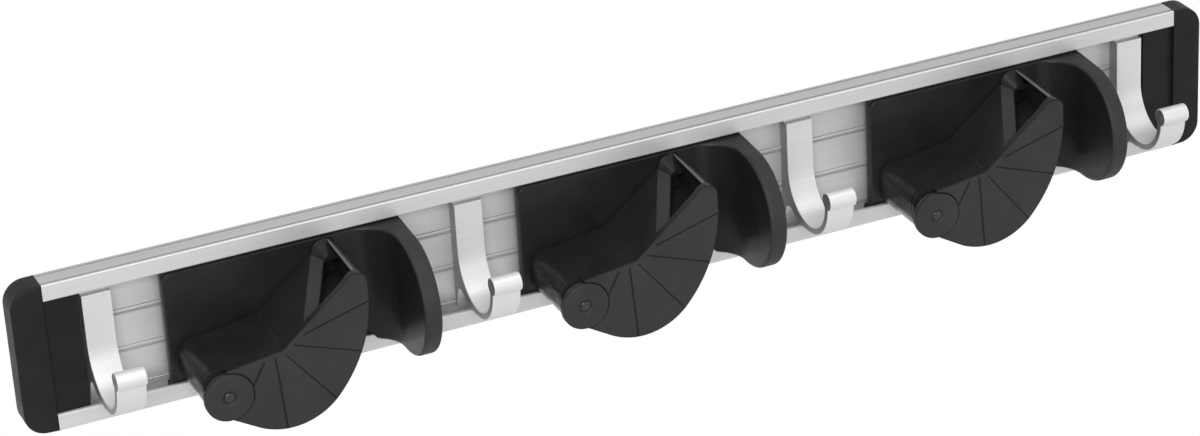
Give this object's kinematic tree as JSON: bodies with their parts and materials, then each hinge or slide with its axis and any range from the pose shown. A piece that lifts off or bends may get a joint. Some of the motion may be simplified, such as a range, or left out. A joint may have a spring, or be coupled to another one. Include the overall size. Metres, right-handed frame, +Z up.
{
  "type": "wall mop holder rack",
  "caption": "Wall rack for mops and brooms: an aluminium channel with end caps, sliding holders whose falling cams clamp a handle, and sliding hooks.",
  "frame": {"origin": "centre of the aluminium channel's flat back face, which lies on the wall", "axes": "+X along the channel to the viewer's right, +Y into the wall, +Z up; the holders and hooks stand out along -Y"},
  "size_m": [0.5, 0.0488, 0.0649],
  "materials": {
    "rail_aluminium": "satin anodised extrusion",
    "hook_aluminium": "satin anodised extrusion, sawn sides",
    "cap_plastic": "black moulded plastic, fine texture",
    "holder_plastic": "black moulded plastic, satin",
    "cam_plastic": "black moulded plastic, satin",
    "axle_steel": "turned steel pin",
    "washer_steel": "blackened steel"
  },
  "bodies": {
    "root": {"rail": "rail_aluminium", "end_cap_left": "cap_plastic", "end_cap_right": "cap_plastic"},
    "hook_1": {"hook_1": "hook_aluminium"},
    "holder_1": {"holder_1_base": "holder_plastic", "holder_1_axle": "axle_steel", "holder_1_washer": "washer_steel", "holder_1_disc": "cam_plastic"},
    "hook_2": {"hook_2": "hook_aluminium"},
    "holder_2": {"holder_2_base": "holder_plastic", "holder_2_axle": "axle_steel", "holder_2_washer": "washer_steel", "holder_2_disc": "cam_plastic"},
    "hook_3": {"hook_3": "hook_aluminium"},
    "holder_3": {"holder_3_base": "holder_plastic", "holder_3_axle": "axle_steel", "holder_3_washer": "washer_steel", "holder_3_disc": "cam_plastic"},
    "hook_4": {"hook_4": "hook_aluminium"},
    "cam_1": {"holder_1_cam": "cam_plastic"},
    "cam_2": {"holder_2_cam": "cam_plastic"},
    "cam_3": {"holder_3_cam": "cam_plastic"}
  },
  "joints": [
    {"name": "hook_1_slide", "type": "slide", "parent": "root", "child": "hook_1", "axis": [1, 0, 0], "range_m": [-0.0008, 0.009]},
    {"name": "holder_1_slide", "type": "slide", "parent": "root", "child": "holder_1", "axis": [1, 0, 0], "range_m": [-0.009, 0.0108]},
    {"name": "hook_2_slide", "type": "slide", "parent": "root", "child": "hook_2", "axis": [1, 0, 0], "range_m": [-0.0108, 0.0067]},
    {"name": "holder_2_slide", "type": "slide", "parent": "root", "child": "holder_2", "axis": [1, 0, 0], "range_m": [-0.0067, 0.0098]},
    {"name": "hook_3_slide", "type": "slide", "parent": "root", "child": "hook_3", "axis": [1, 0, 0], "range_m": [-0.0098, 0.0118]},
    {"name": "holder_3_slide", "type": "slide", "parent": "root", "child": "holder_3", "axis": [1, 0, 0], "range_m": [-0.0118, 0.009]},
    {"name": "hook_4_slide", "type": "slide", "parent": "root", "child": "hook_4", "axis": [1, 0, 0], "range_m": [-0.009, 0.0003]},
    {"name": "cam_1_swing", "type": "hinge", "parent": "holder_1", "child": "cam_1", "pos_m": [-0.18143, -0.027, -0.016], "axis": [0, -1, 0], "range_deg": [0, 50]},
    {"name": "cam_2_swing", "type": "hinge", "parent": "holder_2", "child": "cam_2", "pos_m": [-0.03934, -0.027, -0.016], "axis": [0, -1, 0], "range_deg": [0, 50]},
    {"name": "cam_3_swing", "type": "hinge", "parent": "holder_3", "child": "cam_3", "pos_m": [0.11088, -0.027, -0.016], "axis": [0, -1, 0], "range_deg": [0, 50]}
  ]
}
